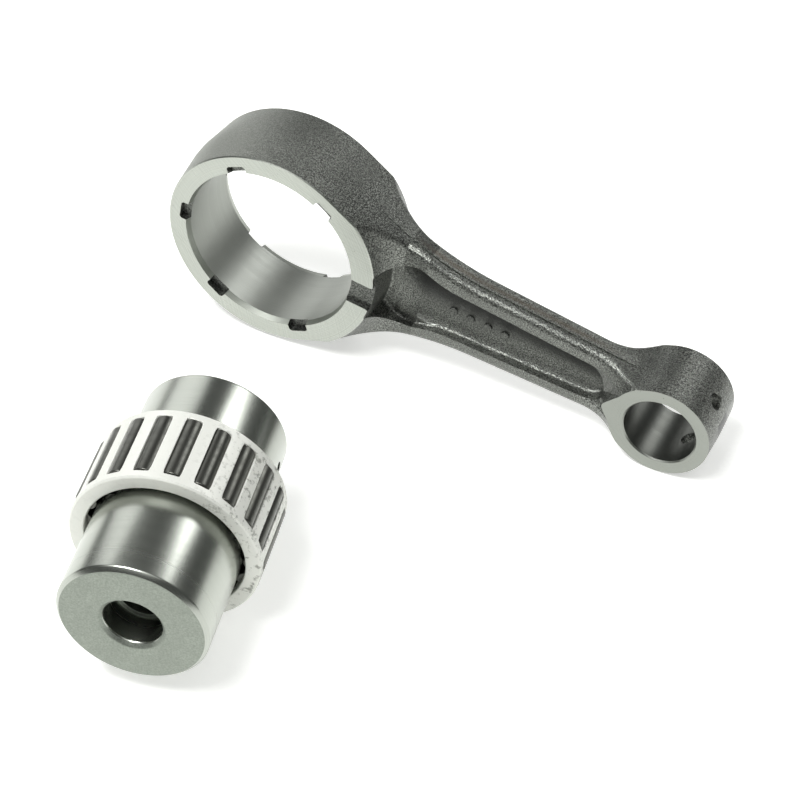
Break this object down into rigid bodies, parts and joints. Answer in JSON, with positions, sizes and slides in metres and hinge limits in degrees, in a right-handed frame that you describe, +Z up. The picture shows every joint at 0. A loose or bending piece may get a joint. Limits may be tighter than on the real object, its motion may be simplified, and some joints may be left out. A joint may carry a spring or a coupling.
{
  "type": "connecting rod",
  "caption": "Forged I-section connecting rod for a small single-cylinder engine, with its ground crank pin and caged big-end roller bearing.",
  "frame": {"origin": "centre of the big-end bore, at mid width", "axes": "+Y along the big-end bore towards the back of the rod, +X towards the small end along the surface the rod stands on, +Z up; the rod's own centre line falls 8.54 degrees below +X because it stands on its edge"},
  "size_m": [0.1438, 0.137, 0.0564],
  "materials": {
    "forged_steel": "shot-blasted forging with ground bores and turned faces",
    "ground_steel": "ground",
    "silver_plate": "dull silver plate",
    "roller_steel": "lapped"
  },
  "bodies": {
    "rod": {"connecting_rod": "forged_steel"},
    "pin": {"crank_pin": "ground_steel"},
    "cage": {"bearing_cage": "silver_plate"},
    "roller_01": {"roller_01": "roller_steel"},
    "roller_02": {"roller_02": "roller_steel"},
    "roller_03": {"roller_03": "roller_steel"},
    "roller_04": {"roller_04": "roller_steel"},
    "roller_05": {"roller_05": "roller_steel"},
    "roller_06": {"roller_06": "roller_steel"},
    "roller_07": {"roller_07": "roller_steel"},
    "roller_08": {"roller_08": "roller_steel"},
    "roller_09": {"roller_09": "roller_steel"},
    "roller_10": {"roller_10": "roller_steel"},
    "roller_11": {"roller_11": "roller_steel"},
    "roller_12": {"roller_12": "roller_steel"},
    "roller_13": {"roller_13": "roller_steel"},
    "roller_14": {"roller_14": "roller_steel"},
    "roller_15": {"roller_15": "roller_steel"},
    "roller_16": {"roller_16": "roller_steel"},
    "roller_17": {"roller_17": "roller_steel"},
    "roller_18": {"roller_18": "roller_steel"},
    "roller_19": {"roller_19": "roller_steel"},
    "roller_20": {"roller_20": "roller_steel"}
  },
  "joints": [
    {"name": "crank_pin_turn", "type": "hinge", "parent": "rod", "child": "pin", "pos_m": [0.021, -0.0935, -0.00623], "axis": [-0.2011, 0.9796, 0], "continuous": true},
    {"name": "bearing_cage_turn", "type": "hinge", "parent": "rod", "child": "cage", "pos_m": [0.02052, -0.09115, -0.00623], "axis": [-0.2011, 0.9796, 0], "continuous": true},
    {"name": "roller_01_turn", "type": "hinge", "parent": "cage", "child": "roller_01", "pos_m": [0.02187, -0.09087, 0.01324], "axis": [-0.2011, 0.9796, 0], "continuous": true},
    {"name": "roller_02_turn", "type": "hinge", "parent": "cage", "child": "roller_02", "pos_m": [0.0277, -0.08968, 0.01186], "axis": [-0.2011, 0.9796, 0], "continuous": true},
    {"name": "roller_03_turn", "type": "hinge", "parent": "cage", "child": "roller_03", "pos_m": [0.03282, -0.08862, 0.00871], "axis": [-0.2011, 0.9796, 0], "continuous": true},
    {"name": "roller_04_turn", "type": "hinge", "parent": "cage", "child": "roller_04", "pos_m": [0.03674, -0.08782, 0.0041], "axis": [-0.2011, 0.9796, 0], "continuous": true},
    {"name": "roller_05_turn", "type": "hinge", "parent": "cage", "child": "roller_05", "pos_m": [0.03907, -0.08734, -0.00152], "axis": [-0.2011, 0.9796, 0], "continuous": true},
    {"name": "roller_06_turn", "type": "hinge", "parent": "cage", "child": "roller_06", "pos_m": [0.03959, -0.08723, -0.00761], "axis": [-0.2011, 0.9796, 0], "continuous": true},
    {"name": "roller_07_turn", "type": "hinge", "parent": "cage", "child": "roller_07", "pos_m": [0.03824, -0.08751, -0.01356], "axis": [-0.2011, 0.9796, 0], "continuous": true},
    {"name": "roller_08_turn", "type": "hinge", "parent": "cage", "child": "roller_08", "pos_m": [0.03515, -0.08814, -0.01879], "axis": [-0.2011, 0.9796, 0], "continuous": true},
    {"name": "roller_09_turn", "type": "hinge", "parent": "cage", "child": "roller_09", "pos_m": [0.03064, -0.08907, -0.02279], "axis": [-0.2011, 0.9796, 0], "continuous": true},
    {"name": "roller_10_turn", "type": "hinge", "parent": "cage", "child": "roller_10", "pos_m": [0.02513, -0.0902, -0.02517], "axis": [-0.2011, 0.9796, 0], "continuous": true},
    {"name": "roller_11_turn", "type": "hinge", "parent": "cage", "child": "roller_11", "pos_m": [0.01917, -0.09143, -0.0257], "axis": [-0.2011, 0.9796, 0], "continuous": true},
    {"name": "roller_12_turn", "type": "hinge", "parent": "cage", "child": "roller_12", "pos_m": [0.01334, -0.09262, -0.02432], "axis": [-0.2011, 0.9796, 0], "continuous": true},
    {"name": "roller_13_turn", "type": "hinge", "parent": "cage", "child": "roller_13", "pos_m": [0.00821, -0.09367, -0.02117], "axis": [-0.2011, 0.9796, 0], "continuous": true},
    {"name": "roller_14_turn", "type": "hinge", "parent": "cage", "child": "roller_14", "pos_m": [0.00429, -0.09448, -0.01656], "axis": [-0.2011, 0.9796, 0], "continuous": true},
    {"name": "roller_15_turn", "type": "hinge", "parent": "cage", "child": "roller_15", "pos_m": [0.00196, -0.09496, -0.01093], "axis": [-0.2011, 0.9796, 0], "continuous": true},
    {"name": "roller_16_turn", "type": "hinge", "parent": "cage", "child": "roller_16", "pos_m": [0.00144, -0.09506, -0.00485], "axis": [-0.2011, 0.9796, 0], "continuous": true},
    {"name": "roller_17_turn", "type": "hinge", "parent": "cage", "child": "roller_17", "pos_m": [0.00279, -0.09479, 0.0011], "axis": [-0.2011, 0.9796, 0], "continuous": true},
    {"name": "roller_18_turn", "type": "hinge", "parent": "cage", "child": "roller_18", "pos_m": [0.00588, -0.09415, 0.00633], "axis": [-0.2011, 0.9796, 0], "continuous": true},
    {"name": "roller_19_turn", "type": "hinge", "parent": "cage", "child": "roller_19", "pos_m": [0.0104, -0.09323, 0.01033], "axis": [-0.2011, 0.9796, 0], "continuous": true},
    {"name": "roller_20_turn", "type": "hinge", "parent": "cage", "child": "roller_20", "pos_m": [0.01591, -0.0921, 0.01272], "axis": [-0.2011, 0.9796, 0], "continuous": true}
  ],
  "couplings": [
    {"joint": "bearing_cage_turn", "follows": "crank_pin_turn", "ratio": 0.43545},
    {"joint": "roller_01_turn", "follows": "crank_pin_turn", "ratio": -3.8389},
    {"joint": "roller_02_turn", "follows": "crank_pin_turn", "ratio": -3.8389},
    {"joint": "roller_03_turn", "follows": "crank_pin_turn", "ratio": -3.8389},
    {"joint": "roller_04_turn", "follows": "crank_pin_turn", "ratio": -3.8389},
    {"joint": "roller_05_turn", "follows": "crank_pin_turn", "ratio": -3.8389},
    {"joint": "roller_06_turn", "follows": "crank_pin_turn", "ratio": -3.8389},
    {"joint": "roller_07_turn", "follows": "crank_pin_turn", "ratio": -3.8389},
    {"joint": "roller_08_turn", "follows": "crank_pin_turn", "ratio": -3.8389},
    {"joint": "roller_09_turn", "follows": "crank_pin_turn", "ratio": -3.8389},
    {"joint": "roller_10_turn", "follows": "crank_pin_turn", "ratio": -3.8389},
    {"joint": "roller_11_turn", "follows": "crank_pin_turn", "ratio": -3.8389},
    {"joint": "roller_12_turn", "follows": "crank_pin_turn", "ratio": -3.8389},
    {"joint": "roller_13_turn", "follows": "crank_pin_turn", "ratio": -3.8389},
    {"joint": "roller_14_turn", "follows": "crank_pin_turn", "ratio": -3.8389},
    {"joint": "roller_15_turn", "follows": "crank_pin_turn", "ratio": -3.8389},
    {"joint": "roller_16_turn", "follows": "crank_pin_turn", "ratio": -3.8389},
    {"joint": "roller_17_turn", "follows": "crank_pin_turn", "ratio": -3.8389},
    {"joint": "roller_18_turn", "follows": "crank_pin_turn", "ratio": -3.8389},
    {"joint": "roller_19_turn", "follows": "crank_pin_turn", "ratio": -3.8389},
    {"joint": "roller_20_turn", "follows": "crank_pin_turn", "ratio": -3.8389}
  ]
}
